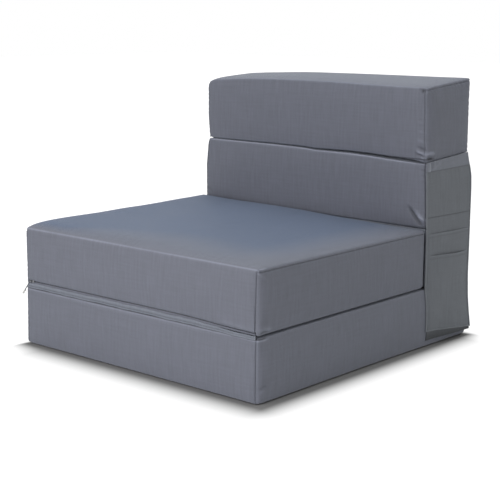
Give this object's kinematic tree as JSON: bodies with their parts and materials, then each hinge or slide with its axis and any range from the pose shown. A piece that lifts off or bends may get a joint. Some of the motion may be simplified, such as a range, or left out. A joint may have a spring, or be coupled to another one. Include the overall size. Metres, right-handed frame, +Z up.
{
  "type": "convertible chair bed",
  "caption": "Armless foam block chair that flips and unfolds into a flat single bed, with a cloth side organiser and a zip along the seat.",
  "frame": {"origin": "centre of the base block's underside, on the floor", "axes": "+Z up, the chair's front faces -Y, and the side organiser hangs on the +X side"},
  "size_m": [0.727, 0.7678, 0.599],
  "materials": {
    "cover_cloth": "matte",
    "band_cloth": "matte",
    "organiser_cloth": "matte",
    "foam": "matte",
    "zip_tape": "matte",
    "zip_coil": "satin",
    "zip_metal": "satin",
    "pull_plastic": "satin"
  },
  "bodies": {
    "base": {"base_cover_wrap": "cover_cloth", "base_cover_end_left": "cover_cloth", "base_cover_end_right": "cover_cloth", "base_foam": "foam", "front_hinge_band": "band_cloth", "riser_hinge_band": "band_cloth"},
    "seat": {"seat_cover_wrap": "cover_cloth", "seat_cover_end_left": "cover_cloth", "seat_cover_end_right": "cover_cloth", "seat_foam": "foam", "zip_tape_lower": "zip_tape", "zip_tape_upper": "zip_tape", "zip_coil": "zip_coil", "zip_stop_left": "zip_metal", "zip_stop_right": "zip_metal"},
    "riser": {"riser_cover_wrap": "cover_cloth", "riser_cover_end_left": "cover_cloth", "riser_cover_end_right": "cover_cloth", "riser_foam": "foam", "lower_back_hinge_band": "band_cloth"},
    "lower_back": {"lower_back_cover_wrap": "cover_cloth", "lower_back_cover_end_left": "cover_cloth", "lower_back_cover_end_right": "cover_cloth", "lower_back_foam": "foam", "upper_back_hinge_band": "band_cloth", "organiser_top_band": "band_cloth", "organiser_yoke": "organiser_cloth", "organiser_strip": "organiser_cloth", "organiser_binding_front": "band_cloth", "organiser_binding_rear": "band_cloth"},
    "upper_back": {"upper_back_cover_wrap": "cover_cloth", "upper_back_cover_end_left": "cover_cloth", "upper_back_cover_end_right": "cover_cloth", "upper_back_foam": "foam"},
    "organiser": {"organiser_panel": "organiser_cloth", "organiser_hem_binding": "band_cloth", "organiser_large_pocket": "organiser_cloth", "organiser_small_pocket": "organiser_cloth"},
    "zip_slider": {"zip_slider": "zip_metal"},
    "zip_pull": {"zip_pull": "pull_plastic"}
  },
  "joints": [
    {"name": "seat_flip", "type": "hinge", "parent": "base", "child": "seat", "pos_m": [0, -0.3875, 0.13925], "axis": [1, 0, 0], "range_deg": [0, 180], "deforming": ["front_hinge_band"]},
    {"name": "back_unfold", "type": "hinge", "parent": "base", "child": "riser", "pos_m": [0, 0.3875, 0.13925], "axis": [1, 0, 0], "range_deg": [-180, 0], "deforming": ["riser_hinge_band"]},
    {"name": "lower_back_turn", "type": "hinge", "parent": "riser", "child": "lower_back", "pos_m": [0, 0.2075, 0.27825], "axis": [1, 0, 0], "range_deg": [0, 180], "deforming": ["lower_back_hinge_band"]},
    {"name": "upper_back_turn", "type": "hinge", "parent": "lower_back", "child": "upper_back", "pos_m": [0, 0.3875, 0.43875], "axis": [1, 0, 0], "range_deg": [-180, 0], "deforming": ["upper_back_hinge_band"]},
    {"name": "organiser_bend", "type": "hinge", "parent": "lower_back", "child": "organiser", "pos_m": [0.3518, 0.2975, 0.28], "axis": [0, -1, 0], "range_deg": [0, 90]},
    {"name": "zip_slide", "type": "slide", "parent": "seat", "child": "zip_slider", "axis": [1, 0, 0], "range_m": [0, 0.6635]},
    {"name": "zip_pull_swing", "type": "hinge", "parent": "zip_slider", "child": "zip_pull", "pos_m": [-0.3351, -0.38332, 0.15125], "axis": [0, 0, 1], "range_deg": [0, 180]}
  ],
  "couplings": [
    {"joint": "lower_back_turn", "follows": "back_unfold", "ratio": -1},
    {"joint": "upper_back_turn", "follows": "back_unfold", "ratio": 1},
    {"joint": "organiser_bend", "follows": "back_unfold", "ratio": -0.5}
  ]
}
